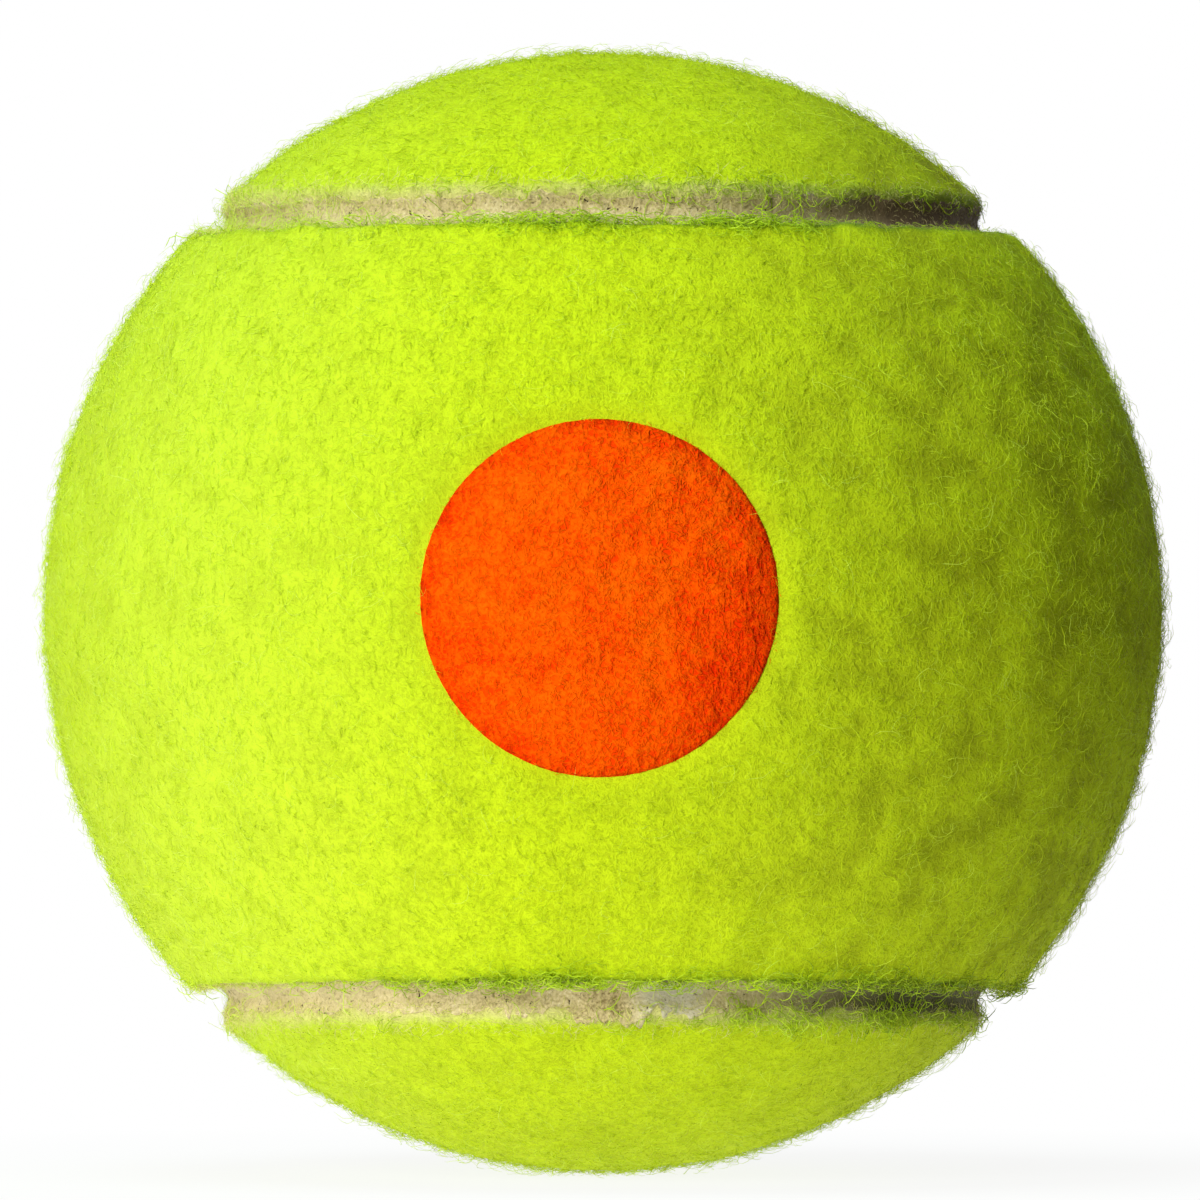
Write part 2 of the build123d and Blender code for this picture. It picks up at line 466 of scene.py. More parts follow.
GROUND_RUBBER = core_rubber("ground_moulded_rubber", "#2a2826", "#4a4744", 0.4, 0.85)
INSIDE_FINISH = {
    "core_half_upper": GROUND_RUBBER,
    "core_half_lower": GROUND_RUBBER,
    "core_joint_cement": core_rubber("joint_cement", "#6b5436", "#8c7350", 0.5, 0.6),
    "core_glue_coat": core_rubber("rubber_solution", "#a5824a", "#c09a5c", 0.8, 0.5),
}
for node_name, finish in INSIDE_FINISH.items():
    node_mesh = frame["nodes"][node_name].data
    node_mesh.materials.clear()
    node_mesh.materials.append(finish)
print("inside finishes:", len(INSIDE_FINISH))

# %% [markdown]
# The felt panels
#
# A panel is a dumb-bell of felt: a waist round the front and a round lobe at each side of the
# back. Its cross-section is swept half a turn round the upright axis and half a turn round the
# sideways axis, and its angle shifts on the way, so that the cut edges follow the leaning arcs of
# the groove row by row. A sphere with faces cut away would leave a ragged edge. Then noise lifts
# soft lumps and lets the cut edge wander, because felt is never a perfect sphere.

# %% Cross-section of a panel
MESH_STEP = 0.55 * MM
ROLL_STEPS = 5
WALL_STEPS = 3
INNER_STEPS = 8
HALF_TURN_STEPS = 2 * round(math.pi * GROUND_R / MESH_STEP / 2)


def panel_half_section():
    """Radius and angle, from the middle line outside, over the cut edge, to the middle inside."""
    flat_end = WALL_ANGLE - EDGE_ROLL / GROUND_R
    rows = round(GROUND_R * flat_end / MESH_STEP)
    section = [(GROUND_R, flat_end * row / rows) for row in range(rows + 1)]
    for step in range(1, ROLL_STEPS + 1):
        turn = math.pi / 2 * step / ROLL_STEPS
        radius = GROUND_R - EDGE_ROLL * (1 - math.cos(turn))
        section.append((radius, flat_end + EDGE_ROLL * math.sin(turn) / GROUND_R))
    wall_top = GROUND_R - EDGE_ROLL
    for step in range(1, WALL_STEPS + 1):
        section.append((wall_top + (GLUE_R - wall_top) * step / WALL_STEPS, WALL_ANGLE))
    for step in range(1, INNER_STEPS + 1):
        section.append((GLUE_R, WALL_ANGLE * (1 - step / INNER_STEPS)))
    return section


def round_front(radius, angle, turn):
    """A point of the waist: turn runs from the right, through the front, to the left."""
    angle -= LEAN * math.sin(2 * angle) * math.sin(turn)
    flat = radius * math.cos(angle)
    return (flat * math.cos(turn), -flat * math.sin(turn), radius * math.sin(angle))


def round_back(side, radius, angle, turn):
    """A point of a lobe: turn runs from the top, through the back, to the bottom."""
    angle += LEAN * math.sin(2 * angle) * math.sin(turn)
    flat = radius * math.sin(angle)
    return (side * radius * math.cos(angle), flat * math.sin(turn), flat * math.cos(turn))


# %% From rows of points to a mesh
MERGE_WITHIN = 0.002 * MM
TINY_EDGE = 0.001 * MM


def sweep(bm, rows_of_points, closed):
    """Joins rows of points into a skin of faces."""
    rows = [[bm.verts.new(point) for point in row] for row in rows_of_points]
    for row, following in zip(rows, rows[1:]):
        ends = range(len(row) if closed else len(row) - 1)
        for here in ends:
            beside = (here + 1) % len(row)
            bm.faces.new((row[here], row[beside], following[beside], following[here]))


def smooth_mesh(bm, name):
    """Turns the faces outwards and makes a smooth mesh."""
    bmesh.ops.recalc_face_normals(bm, faces=bm.faces)
    mesh = bpy.data.meshes.new(name)
    bm.to_mesh(mesh)
    bm.free()
    mesh.shade_smooth()
    return mesh


def swept_mesh(bm, name, finish):
    """Closes the seams and poles of what was swept, and gives the mesh its material."""
    bmesh.ops.remove_doubles(bm, verts=bm.verts, dist=MERGE_WITHIN)
    bmesh.ops.dissolve_degenerate(bm, edges=bm.edges, dist=TINY_EDGE)
    mesh = smooth_mesh(bm, name)
    mesh.materials.append(finish)
    return mesh


def new_piece(name, mesh):
    """An object for a finished mesh, at the origin."""
    piece = bpy.data.objects.new(name, mesh)
    scene.collection.objects.link(piece)
    return piece


# %% The unevenness of felt
LUMP_SIZE = 3.4 * MM
LUMP_HEIGHT = 0.11 * MM
WANDER_SIZE = 2.2 * MM
WANDER = 0.34 * MM
FIRM_SKIN = 0.3 * MM  # this close to the core, the felt keeps its true shape
DOT_SINK = 0.45 * MM
DOT_START = -0.2 * MM
DOT_SLOPE = 1.1 * MM
DOT_LUMPS = 0.2  # what the stamp has left of the lumps
FINER = 2.0  # each octave of a rough noise is twice as fine as the one before
NOISE_SEED = 5
noise.seed_set(NOISE_SEED)  # without a seed, noise_vector starts from the clock


def rough(point, octaves, fall=0.6):
    """A noise of several sizes, from about -1 to 1; a larger fall makes it smoother."""
    return noise.fractal(point, fall, FINER, octaves)


def lump(point):
    """The soft hills and hollows of felt, from about -1 to 1."""
    return rough(point / LUMP_SIZE, 3)


def felt_unevenness(point):
    """How far felt stands from its true shape at this point."""
    share = ease(point.length, GLUE_R + FIRM_SKIN, GROUND_R - FIRM_SKIN)
    free = ease(from_dot(point), DOT_START, DOT_SLOPE)
    lumps = lump(point) * LUMP_HEIGHT * (DOT_LUMPS + (1 - DOT_LUMPS) * free)
    sink = DOT_SINK * (1 - free)
    out = point.normalized()
    wander = noise.noise_vector(point / WANDER_SIZE) * WANDER * free
    return share * (out * (lumps - sink - out.dot(wander)) + wander)


# %% Sweep both panels
TO_REAR = Matrix(((0, 0, 1), (0, -1, 0), (1, 0, 0)))


def panel_mesh(name, turned):
    """One closed panel; turned lays it on the place of the rear one."""
    half = panel_half_section()
    whole = half + [(radius, -angle) for radius, angle in reversed(half[1:-1])]
    turns = [math.pi * step / HALF_TURN_STEPS for step in range(HALF_TURN_STEPS + 1)]
    bm = bmesh.new()
    sweep(bm, [[round_front(*spot, turn) for spot in whole] for turn in turns], closed=True)
    for side in (1, -1):
        lobe = [[round_back(side, *spot, turn) for spot in half] for turn in turns[::2]]
        sweep(bm, lobe, closed=False)
    if turned:
        bmesh.ops.transform(bm, matrix=TO_REAR.to_4x4(), verts=bm.verts)
    mesh = swept_mesh(bm, name, FELT_GROUND)
    for vertex in mesh.vertices:
        vertex.co += felt_unevenness(vertex.co)
    return mesh


felt_front = new_piece("felt_front", panel_mesh("felt_front", turned=False))
felt_rear = new_piece("felt_rear", panel_mesh("felt_rear", turned=True))
for felt in (felt_front, felt_rear):
    print(felt.name, len(felt.data.polygons), "faces")

# %% [markdown]
# Where fibres grow
#
# A scatter needs to know where fibres grow, how long they are and how pale. Twelve marks on each
# point of a panel say so. "nap", "tuft", "haze" and "wisps" are the places of the nap's layers,
# which stop at the dot. "fringe" and "soaked" are those of the fibres along the groove. "reach"
# makes fibres short beside the dot, where the stamp has pressed them, and at a tidy edge. Two
# marks shift the fibres' tone as painted light: paler on the lit left, a painted highlight, and
# darker on the right, a painted shade. Of the three that colour the ground, one paints shade in
# its hollows and towards the right, "edge" paints a shade line along its cut edge, and "soak"
# stains it with cement. In each pair of values below, a change begins at the first and is
# complete at the second.

# %% Painted light and shade on the felt, and its ragged edge
FRONT = 1
REAR = -1
# painted shade darkens the felt towards the right, over these spans along X
RIGHT_SHADE_SPAN = (2 * MM, 20 * MM)
CAP_RIGHT_SHADE_SPAN = (7 * MM, 23 * MM)
LOW_CAP_SHADE = 0.45
# painted highlight: the felt and its fibres are paler on the left, over this span along X
LIT_PALE_SPAN = (-28 * MM, -2 * MM)
LIT_PALENESS = 0.16
RAG_SHADE_CAP = (0.15, 0, 10 * MM)  # the least, and where along X it begins and is complete
RAG_SHADE_LOW = (0.1, -16 * MM, -7 * MM)
RAG_SHADE_HIGH = (0.2, -14 * MM, 2 * MM)
TIDY_EDGE = (9 * MM, 14 * MM)  # at the upper right the edge is tidier again


def shade_paint_at(point, side):
    """How much painted shade the felt gets towards the right: the caps less than the front, and the lower
    cap least.
    """
    if side == FRONT:
        return ease(point.x, *RIGHT_SHADE_SPAN)
    return ease(point.x, *CAP_RIGHT_SHADE_SPAN) * (1.0 if point.z > 0 else LOW_CAP_SHADE)


def rag_and_shade(point, side):
    """How ragged the cut edge is and how strong its painted shade line is: little on the left, and 1 on
    the right.
    """
    if side == REAR:
        least, low, high = RAG_SHADE_CAP
    elif point.z < 0:
        least, low, high = RAG_SHADE_LOW
    else:
        least, low, high = RAG_SHADE_HIGH
    return least + (1 - least) * ease(point.x, low, high)


def wild(point):
    """1 where the cut edge stands up, and 0 where it lies tidy."""
    if point.z > 0 and point.x > 0:
        return 1 - ease(abs(point.x), *TIDY_EDGE)
    return 1.0


# %% The marks of one point
SOAK_SIZE = 1.5 * MM
SOAK_WANDER = 0.35 * MM
SOAK_REACH = {FRONT: (0, 0.5 * MM), REAR: (0, 1.1 * MM)}
GLUED_REACH = {FRONT: (0.2 * MM, 0.5 * MM), REAR: (0.2 * MM, 1.7 * MM)}
FRINGE_REACH = {FRONT: (0.4 * MM, 1.4 * MM), REAR: (0.4 * MM, 1.3 * MM)}
FRINGE_START = (0, 0.2 * MM)
FRINGE_CLUMP = 2.4 * MM
FRINGE_ENDS = (17 * MM, 21 * MM)
EDGE_REACH = (0.3 * MM, 1.0 * MM)
# how strong the painted shade line along each panel's cut edge is
EDGE_SHADE = {FRONT: 0.9, REAR: 0.5}
EDGE_NEAR = (1 * MM, 2.5 * MM)
EDGE_SHORT = {FRONT: 0.5, REAR: 0.25}
# painted shade towards the right, on each panel
DARKENING = {FRONT: 0.13, REAR: 0.5}
WALL_TOP = (CEMENT_R, CEMENT_R + 0.4 * MM)
DOT_EDGE = (-0.1 * MM, 0.15 * MM)
DOT_PRESSED = (0.2 * MM, 1.2 * MM)
BEHIND = (0, 10 * MM)
IN_FRONT = (-6 * MM, 6 * MM)
HOLLOWS = (-0.6, 0.2)
HILLS = (-0.4, 0.5)
CLUMPED = (-0.2, 0.4)


def marks_at(point, side):
    """The twelve marks of a point of the front or the rear panel."""
    inside = side * from_seam(point) - SEAM_WIDTH / 2
    inside += noise.noise(point / SOAK_SIZE) * SOAK_WANDER
    outer = ease(point.length, *WALL_TOP)
    dot = from_dot(point)
    # how far the painted shade of the right reaches at this point
    shade_share = ease(point.x, *RIGHT_SHADE_SPAN)
    shade_paint = shade_paint_at(point, side)
    ragged_shaded = rag_and_shade(point, side)
    stands = wild(point)
    hill = lump(point)
    near = 1 - ease(inside, *EDGE_NEAR)
    glued = (1 - ease(inside, *GLUED_REACH[side])) * (1 - 0.7 * shade_share)
    fringe = outer * (1 - ease(inside, *FRINGE_REACH[side])) * ease(inside, *FRINGE_START)
    fringe *= 0.4 + 1.0 * ease(noise.noise(point / FRINGE_CLUMP), *CLUMPED)
    ends = 1 - 0.75 * ease(abs(point.x), *FRINGE_ENDS)
    nap = outer * ease(dot, *DOT_EDGE) * (1 - 0.75 * glued)
    loose = nap * (1 - 0.35 * ease(point.y, *BEHIND))
    # painted highlight on the lit left
    pale = LIT_PALENESS * (1 - ease(point.x, *LIT_PALE_SPAN))
    # painted shade in the hollows, more towards the right
    hollow_shade = (1 - ease(hill, *HOLLOWS)) * (0.1 + 0.26 * shade_paint)
    return {
        "nap": nap * (1 - 0.3 * shade_share),
        "tuft": loose * (0.35 + 0.65 * ease(hill, *HILLS)) * (1 + 0.35 * shade_share),
        "haze": loose * (1 - 0.55 * shade_share),
        "wisps": nap * shade_share * ease(-point.y, *IN_FRONT),
        # painted shade on the ground: its hollows and its right
        "painted_shade": hollow_shade + DARKENING[side] * shade_paint,
        # painted shade line along the cut edge, stronger towards the right
        "edge": (1 - ease(inside, *EDGE_REACH)) * ragged_shaded * EDGE_SHADE[side],
        # painted light in the fibres' tone: paler on the lit left, darker on the shaded right
        "painted_light_tone": pale - 0.26 * shade_paint,
        "painted_light_tone_fine": pale - 0.03 * shade_paint,
        "soak": (1 - ease(inside, *SOAK_REACH[side])) * (1 - 0.8 * shade_share),
        "soaked": outer * glued,
        "fringe": fringe * ragged_shaded * (0.5 + 0.5 * stands) * ends,
        "reach": (0.5 + 0.5 * ease(dot, *DOT_PRESSED)) * (1 - EDGE_SHORT[side] * near * (1 - stands)),
    }


# %% Mark the panels
def write_marks(mesh, marks_of):
    """Keeps what marks_of says about each point as marks on the mesh."""
    rows = {}
    for vertex in mesh.vertices:
        for name, value in marks_of(vertex.co).items():
            rows.setdefault(name, []).append(value)
    for name, row in rows.items():
        mesh.attributes.new(name, "FLOAT", "POINT").data.foreach_set("value", row)
    print(mesh.name, "marks:", ", ".join(rows))


write_marks(felt_front.data, lambda point: marks_at(point, FRONT))
write_marks(felt_rear.data, lambda point: marks_at(point, REAR))

# %% [markdown]
# Single fibres
#
# Real felt fibres are about 0.02 mm thick. At that size they would vanish in the picture, and the
# ball would need many millions of them. So there are fewer, and they are drawn thicker, from about
# 0.02 mm in the fuzz to 0.06 mm in the fringe. Each sort is a small set of closed, three-sided,
# tapered curls. A curl is walked step by step: it leaves the mat steeply, levels out and bends
# sideways as it goes.

# %% Model a curl
SIDES = 3
ROOT_DEPTH = 0.08 * MM
SIDE_SHAKE = 0.25
TAPER = 0.45
SIDEWAYS_FROM = Vector((0.3, 0.2, 1))  # crossed with a curl's way, it gives a ring its sideways


def curl_path(draw, length, points, rise, fall, bend, wobble):
    """Points along one curl, which starts just below the mat and sets off along X."""
    steps = points - 1
    place = Vector((0, 0, -ROOT_DEPTH))
    path = [place.copy()]
    heading = 0.0
    turn = draw.uniform(-bend, bend)
    for step in range(steps):
        share = step / max(steps - 1, 1)
        pitch = rise + (fall - rise) * share + draw.gauss(0, wobble)
        heading += turn / steps + draw.gauss(0, SIDE_SHAKE)
        way = Vector((math.cos(heading), math.sin(heading), 0)) * math.cos(pitch)
        way.z = math.sin(pitch)
        place = place + way * length / steps
        path.append(place)
    return path


def curl_mesh(name, path, thickness):
    """A closed tapered tube along the path, pointed at both ends."""
    bm = bmesh.new()
    rings = []
    for index in range(1, len(path) - 1):
        along = (path[index + 1] - path[index - 1]).normalized()
        across = along.cross(SIDEWAYS_FROM).normalized()
        up = across.cross(along)
        radius = thickness / 2 * (1 - TAPER * index / len(path))
        ring = []
        for side in range(SIDES):
            angle = 2 * math.pi * side / SIDES
            out = across * math.cos(angle) + up * math.sin(angle)
            ring.append(bm.verts.new(path[index] + radius * out))
        rings.append(ring)
    root, tip = bm.verts.new(path[0]), bm.verts.new(path[-1])
    for side in range(SIDES):
        beside = (side + 1) % SIDES
        bm.faces.new((root, rings[0][beside], rings[0][side]))
        bm.faces.new((tip, rings[-1][side], rings[-1][beside]))
        for ring, following in zip(rings, rings[1:]):
            bm.faces.new((ring[side], ring[beside], following[beside], following[side]))
    mesh = smooth_mesh(bm, name)
    # Each face fills most of a unit square, which the scatter narrows to the column of one tone
    strip = mesh.uv_layers.new(name="strand")
    for polygon in mesh.polygons:
        for corner, loop in enumerate(polygon.loop_indices):
            strip.data[loop].uv = (0.15 + 0.35 * (corner % 3), 0.2 + 0.6 * (corner // 2))
    return mesh


# %% Model every sort of curl
CURLS_PER_SORT = 24
CURL_SORTS = {  # seed, thickness and length in mm, points, rise, fall, bend and wobble in radians
    "matted": (11, 0.044, 0.7, 3, 0.6, -0.05, 2.4, 0.12),
    "wavy": (16, 0.034, 1.1, 4, 0.7, -0.1, 4.0, 0.12),
    "loose": (12, 0.03, 2.2, 7, 0.7, -0.1, 6.0, 0.12),
    "fuzz": (13, 0.023, 1.7, 7, 1.2, -0.3, 6.5, 0.4),
    "fringe": (14, 0.06, 1.8, 7, 0.7, -0.3, 7.0, 0.35),
    "wisps": (17, 0.028, 1.4, 6, 0.5, -0.15, 5.0, 0.12),
    "pressed": (15, 0.038, 0.8, 4, 0.4, -0.2, 3.0, 0.12),
}


def curl_sort(name, seed, thickness_mm, length_mm, *shape):
    """A collection of differing curls of one sort."""
    draw = random.Random(seed)
    sort = bpy.data.collections.new(name)
    for index in range(CURLS_PER_SORT):
        path = curl_path(draw, length_mm * MM, *shape)
        mesh = curl_mesh(f"{name}_{index}", path, thickness_mm * MM)
        sort.objects.link(bpy.data.objects.new(f"{name}_{index}", mesh))
    return sort


CURLS = {name: curl_sort(name, *row) for name, row in CURL_SORTS.items()}
print("sorts of curl:", ", ".join(CURLS))

# %% [markdown]
# Scattering
#
# Geometry Nodes put the curls on the felt. Points are spread over the faces by one of the marks.
# Each point gets a curl that stands on the surface and lies along a slowly changing flow, with
# some stray, which makes the whorls that felt shows. Each curl carries its own tone. The tree
# turns the copies into real mesh, so that nothing is lost when the model is saved, gives each
# fibre a small place of its tone on the UV map, and ends by setting the material.

# %% Build the scatter tree
TONES = 48
TONE_OWN = 0.4  # how much of a fibre's tone is its own; the rest it shares with its clump
TONE_SEED = 7
FLOW_SIZE_MM = 6.0
CLUMP_SIZE_MM = 2.4
SCATTER_INPUTS = {
    "Curls": "Collection", "Kinds": "Int", "Finish": "Material", "Mark": "String",
    "Per Area": "Float", "Shortest": "Float", "Longest": "Float", "Stray": "Float",
    "Pale": "Float", "Tint": "String", "Seed": "Int",
}


def laid_curls(tree, given):
    """Copies of the curls on the felt, each turned along the flow and given its length."""
    mark = add(tree, "GeometryNodeInputNamedAttribute", {"Name": given["Mark"]}, data_type="FLOAT")
    density = add(tree, "ShaderNodeMath", {
        0: mark.outputs[0], 1: given["Per Area"]}, operation="MULTIPLY")
    spread = add(tree, "GeometryNodeDistributePointsOnFaces", {
        "Mesh": given["Geometry"], "Density": density.outputs[0], "Seed": given["Seed"]})
    place = add(tree, "GeometryNodeInputPosition", {}).outputs[0]
    flow = add(tree, "ShaderNodeTexNoise", {
        "Vector": place, "Scale": per_metre(FLOW_SIZE_MM), "Detail": 1.0})
    lie = add(tree, "ShaderNodeVectorMath", {
        0: flow.outputs["Color"], 1: (NOISE_MIDDLE,) * 3}, operation="SUBTRACT")
    stand = add(tree, "FunctionNodeAxesToRotation", {
        "Primary Axis": spread.outputs["Normal"], "Secondary Axis": lie.outputs[0]},
        primary_axis="Z", secondary_axis="X")
    least = add(tree, "ShaderNodeMath", {0: given["Stray"], 1: -1.0}, operation="MULTIPLY")
    stray = add(tree, "FunctionNodeRandomValue", {
        2: least.outputs[0], 3: given["Stray"], "Seed": given["Seed"]}, data_type="FLOAT")
    twist = add(tree, "FunctionNodeAxisAngleToRotation", {
        "Axis": (0, 0, 1), "Angle": stray.outputs[1]})
    turned = add(tree, "FunctionNodeRotateRotation", {
        "Rotation": stand.outputs[0], "Rotate By": twist.outputs[0]}, rotation_space="LOCAL")
    reach = add(tree, "GeometryNodeInputNamedAttribute", {"Name": "reach"}, data_type="FLOAT")
    size = add(tree, "FunctionNodeRandomValue", {
        2: given["Shortest"], 3: given["Longest"], "Seed": given["Seed"]}, data_type="FLOAT")
    scale = add(tree, "ShaderNodeMath", {
        0: size.outputs[1], 1: reach.outputs[0]}, operation="MULTIPLY")
    last = add(tree, "ShaderNodeMath", {0: given["Kinds"], 1: 1.0}, operation="SUBTRACT")
    pick = add(tree, "FunctionNodeRandomValue", {
        4: 0, 5: last.outputs[0], "Seed": given["Seed"]}, data_type="INT")
    curls = add(tree, "GeometryNodeCollectionInfo", {
        "Collection": given["Curls"], "Separate Children": True, "Reset Children": True})
    copies = add(tree, "GeometryNodeInstanceOnPoints", {
        "Points": spread.outputs["Points"], "Instance": curls.outputs[0], "Pick Instance": True,
        "Instance Index": pick.outputs[2], "Rotation": turned.outputs[0], "Scale": scale.outputs[0]})
    return copies.outputs[0], place


def toned_curls(tree, given, copies, place):
    """The copies with a tone each, in steps that the UV map can hold."""
    clump = add(tree, "ShaderNodeTexNoise", {
        "Vector": place, "Scale": per_metre(CLUMP_SIZE_MM), "Detail": 2.0})
    own = add(tree, "FunctionNodeRandomValue", {2: 0.0, 3: 1.0, "Seed": TONE_SEED}, data_type="FLOAT")
    tone = add(tree, "ShaderNodeMix", {
        "Factor": TONE_OWN, "A": clump.outputs["Fac"], "B": own.outputs[1]})
    # the tint is painted light: it pales fibres on the lit left and darkens them on the right
    tint = add(tree, "GeometryNodeInputNamedAttribute", {"Name": given["Tint"]}, data_type="FLOAT")
    pale = add(tree, "ShaderNodeMath", {0: given["Pale"], 1: tint.outputs[0]}, operation="ADD")
    paler = add(tree, "ShaderNodeMath", {
        0: tone.outputs["Result"], 1: pale.outputs[0]}, operation="ADD", use_clamp=True)
    step = add(tree, "ShaderNodeMath", {0: paler.outputs[0], 1: 1 / TONES}, operation="SNAP")
    return add(tree, "GeometryNodeStoreNamedAttribute", {
        "Geometry": copies, "Name": "tone", "Value": step.outputs[0]},
        data_type="FLOAT", domain="INSTANCE").outputs[0]


def scatter_tree():
    tree = bpy.data.node_groups.new("scatter_fibres", "GeometryNodeTree")
    tree.interface.new_socket("Geometry", in_out="INPUT", socket_type="NodeSocketGeometry")
    tree.interface.new_socket("Geometry", in_out="OUTPUT", socket_type="NodeSocketGeometry")
    for name, kind in SCATTER_INPUTS.items():
        tree.interface.new_socket(name, in_out="INPUT", socket_type=f"NodeSocket{kind}")
    given = add(tree, "NodeGroupInput", {}).outputs
    toned = toned_curls(tree, given, *laid_curls(tree, given))
    solid = add(tree, "GeometryNodeRealizeInstances", {"Geometry": toned})
    own_tone = add(tree, "GeometryNodeInputNamedAttribute", {"Name": "tone"}, data_type="FLOAT")
    strand = add(tree, "GeometryNodeInputNamedAttribute", {
        "Name": "strand"}, data_type="FLOAT_VECTOR")
    apart = add(tree, "ShaderNodeSeparateXYZ", {0: strand.outputs[0]}).outputs
    column = add(tree, "ShaderNodeMath", {
        0: apart["X"], 1: 1 / TONES, 2: own_tone.outputs[0]}, operation="MULTIPLY_ADD")
    chart = add(tree, "ShaderNodeCombineXYZ", {"X": column.outputs[0], "Y": apart["Y"]})
    mapped = add(tree, "GeometryNodeStoreNamedAttribute", {
        "Geometry": solid.outputs[0], "Name": "OFBake", "Value": chart.outputs[0]},
        data_type="FLOAT2", domain="CORNER")
    finished = add(tree, "GeometryNodeSetMaterial", {
        "Geometry": mapped.outputs[0], "Material": given["Finish"]})
    add(tree, "NodeGroupOutput", {"Geometry": finished.outputs[0]})
    return tree


SCATTER = scatter_tree()
SOCKETS = {}
for item in SCATTER.interface.items_tree:
    if item.in_out == "INPUT":
        SOCKETS[item.name] = item.identifier
print("scatter tree:", len(SCATTER.nodes), "nodes,", len(SOCKETS), "inputs")

# %% Grow one mesh of fibres
ANY_WAY = 3.1  # radians to each side of the flow
ALONG_MAT = 2.4
ALONG_DOT = 2.6


# tint names the mark of painted light that shifts the fibres' tone
def grow(name, ground, sort, finish, mark, per_mm2, sizes, seed,
         pale=0.0, tint="painted_light_tone", stray=ANY_WAY):
    """Scatters curls over a mesh and returns them as a plain mesh piece."""
    holder = new_piece(name, ground.data)
    scatter = holder.modifiers.new("scatter", "NODES")
    scatter.node_group = SCATTER
    values = {
        "Curls": CURLS[sort], "Kinds": CURLS_PER_SORT, "Finish": finish, "Mark": mark,
        "Per Area": per_mm2 / MM**2, "Shortest": sizes[0], "Longest": sizes[1],
        "Stray": stray, "Pale": pale, "Tint": tint, "Seed": seed,
    }
    for label, value in values.items():
        scatter[SOCKETS[label]] = value
    graph = bpy.context.evaluated_depsgraph_get()
    mesh = bpy.data.meshes.new_from_object(
        holder.evaluated_get(graph), preserve_all_data_layers=True, depsgraph=graph)
    holder.modifiers.remove(scatter)
    holder.data = mesh
    triangles = sum(len(polygon.vertices) - 2 for polygon in mesh.polygons)
    print(name, triangles, "triangles")
    return holder


# %% [markdown]
# The cement in the groove
#
# The edges of the panels are dipped in cement before they go on the core. So the cement is a strip
# that follows the groove all the way round, a little hollow in the middle, and it coats the rolled
# edges of the felt, further up in some places than in others. Low in front it has spilled over the
# edge of the lower cap. It moves with the felt's unevenness.

# %% Where the cement lies
DIP = 0.25 * MM
CLIMB_START = 0.35 * MM
CREEP = {FRONT: (0.36 * MM, 0.5 * MM), REAR: (0.38 * MM, 0.85 * MM)}
CREEP_SIZE = 1.3 * MM
CREEP_NOISE = (-0.8, 1.0)
CREEP_APART = 5  # keeps the noise of the two edges apart
SPILL_TURN = 0.49 * math.pi
SPILL_LENGTH = 7 * MM
SPILL = 0.65 * MM
SPILL_PATCHY = 1.3
FILM = 0.06 * MM
TUCK = 0.15 * MM  # the film's end is tucked this far into the felt
UNDER_R = GLUE_R + 0.05 * MM


def on_strip(quarter, turn, radius, offset):
    """A point of the strip: offset is the angle across it, above 0 towards the front panel."""
    side = 1 if quarter in (0, 3) else -1
    if quarter % 2 == 0:
        x, y, z = round_front(radius, SEAM_ANGLE - offset, turn)
        return Vector((side * x, y, side * z))
    x, y, z = round_back(side, radius, SEAM_ANGLE - offset, turn)
    return Vector((x, y, -side * z))


SPILL_PLACE = on_strip(2, SPILL_TURN, CEMENT_R, 0)


def on_roll(climb, lift):
    """Radius and distance from the wall, this far up the rolled edge and this high above it."""
    quarter = math.pi / 2 * EDGE_ROLL
    if climb > quarter:
        return GROUND_R + lift, EDGE_ROLL + climb - quarter
    turn = math.pi / 2 - climb / EDGE_ROLL
    roll = EDGE_ROLL + lift
    return GROUND_R - EDGE_ROLL + roll * math.cos(turn), EDGE_ROLL - roll * math.sin(turn)


def creep_at(middle, side):
    """How far the cement has crept up the edge of one panel."""
    patchy = rough(middle / CREEP_SIZE + Vector((side * CREEP_APART, 0, 0)), 3)
    least, most = CREEP[side]
    creep = least + (most - least) * ease(patchy, *CREEP_NOISE)
    if side == REAR:
        away = (middle - SPILL_PLACE).length
        run = SPILL * (1 - ease(away, 0.5 * SPILL_LENGTH, SPILL_LENGTH))
        creep += run * (1 + SPILL_PATCHY * patchy)
    return creep


# %% Model the cement strip
STRIP_STEP = 0.17 * MM
CHANNEL_STEPS = 14
CREEP_STEPS = 6
GRIT_SIZE = 0.45 * MM
GRIT = 0.05 * MM
GRIT_FALL = 0.7
QUARTER_LENGTH = math.pi * CEMENT_R * math.sin(SEAM_ANGLE)


def strip_section(middle):
    """Radius and offset across the strip, from the rear panel's felt to the front panel's."""
    section = []
    for side in (REAR, FRONT):
        edge = []
        creep = creep_at(middle, side)
        for step in range(CREEP_STEPS + 2):
            lift = FILM if step <= CREEP_STEPS else -TUCK
            climb = CLIMB_START + (creep - CLIMB_START) * min(step / CREEP_STEPS, 1)
            radius, inward = on_roll(climb, lift)
            edge.append((radius, side * (SEAM_HALF + inward / FELT_R)))
        section.append(edge)
    rim, reach = section[1][0]
    floor_r = CEMENT_R - DIP
    channel = []
    for step in range(1, CHANNEL_STEPS):
        share = 2 * step / CHANNEL_STEPS - 1
        channel.append((floor_r + (rim - floor_r) * abs(share) ** 3, share * reach))
    under = [(UNDER_R, SEAM_HALF), (UNDER_R, -SEAM_HALF)]
    return section[0][::-1] + channel + section[1] + under


